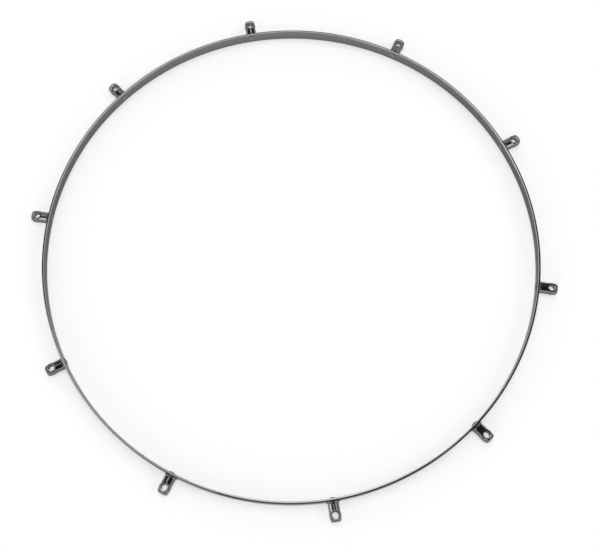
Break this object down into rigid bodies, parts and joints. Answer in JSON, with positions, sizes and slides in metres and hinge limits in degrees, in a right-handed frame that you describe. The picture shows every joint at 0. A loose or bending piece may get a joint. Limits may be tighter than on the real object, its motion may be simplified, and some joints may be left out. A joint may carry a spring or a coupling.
{
  "type": "drum hoop",
  "caption": "Flat steel drum counterhoop with cast ears riveted round its outside, each with a through hole for a tension rod.",
  "frame": {"origin": "on the hoop's axis, level with the lower edge of the band", "axes": "+Z along the hoop's axis, from the drumhead to the rod seats; +X through the first ear"},
  "size_m": [0.616, 0.5878, 0.016],
  "materials": {
    "band_chrome": "polished chrome plate on rolled steel bar",
    "ear_chrome": "bright chrome plate on a die casting",
    "rivet_nickel": "nickel plate on a steel rivet, slightly dull"
  },
  "bodies": {
    "root": {"band": "band_chrome", "ear_01": "ear_chrome", "ear_02": "ear_chrome", "ear_03": "ear_chrome", "ear_04": "ear_chrome", "ear_05": "ear_chrome", "ear_06": "ear_chrome", "ear_07": "ear_chrome", "ear_08": "ear_chrome", "ear_09": "ear_chrome", "ear_10": "ear_chrome", "rivet_01": "rivet_nickel", "rivet_02": "rivet_nickel", "rivet_03": "rivet_nickel", "rivet_04": "rivet_nickel", "rivet_05": "rivet_nickel", "rivet_06": "rivet_nickel", "rivet_07": "rivet_nickel", "rivet_08": "rivet_nickel", "rivet_09": "rivet_nickel", "rivet_10": "rivet_nickel"}
  },
  "joints": []
}
